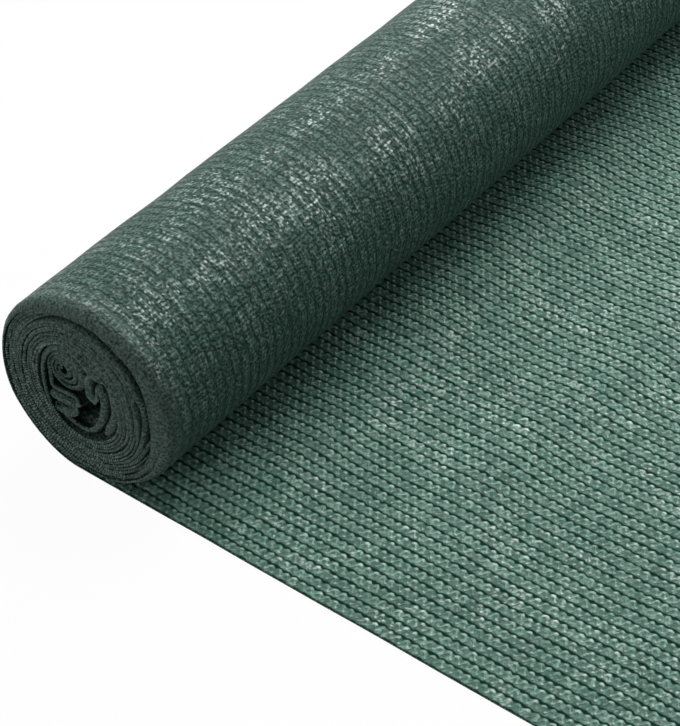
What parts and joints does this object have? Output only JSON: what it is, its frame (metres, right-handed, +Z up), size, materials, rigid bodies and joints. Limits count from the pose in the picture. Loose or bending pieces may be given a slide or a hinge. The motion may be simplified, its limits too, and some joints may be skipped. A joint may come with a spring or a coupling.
{
  "type": "privacy screen net",
  "caption": "Roll of dark green knitted privacy screen net lying on its side, with its loose end drawn out flat from under the roll.",
  "frame": {"origin": "on the ground, under the middle of the whole outline of roll and loose end", "axes": "+Y along the roll's axis, +X the way the loose end is drawn out, +Z up"},
  "size_m": [0.3908, 1, 0.0997],
  "materials": {
    "knitted_net": "knitted flat plastic tapes, half glossy"
  },
  "bodies": {
    "root": {"net_roll": "knitted_net", "net_loose_end": "knitted_net"}
  },
  "joints": []
}
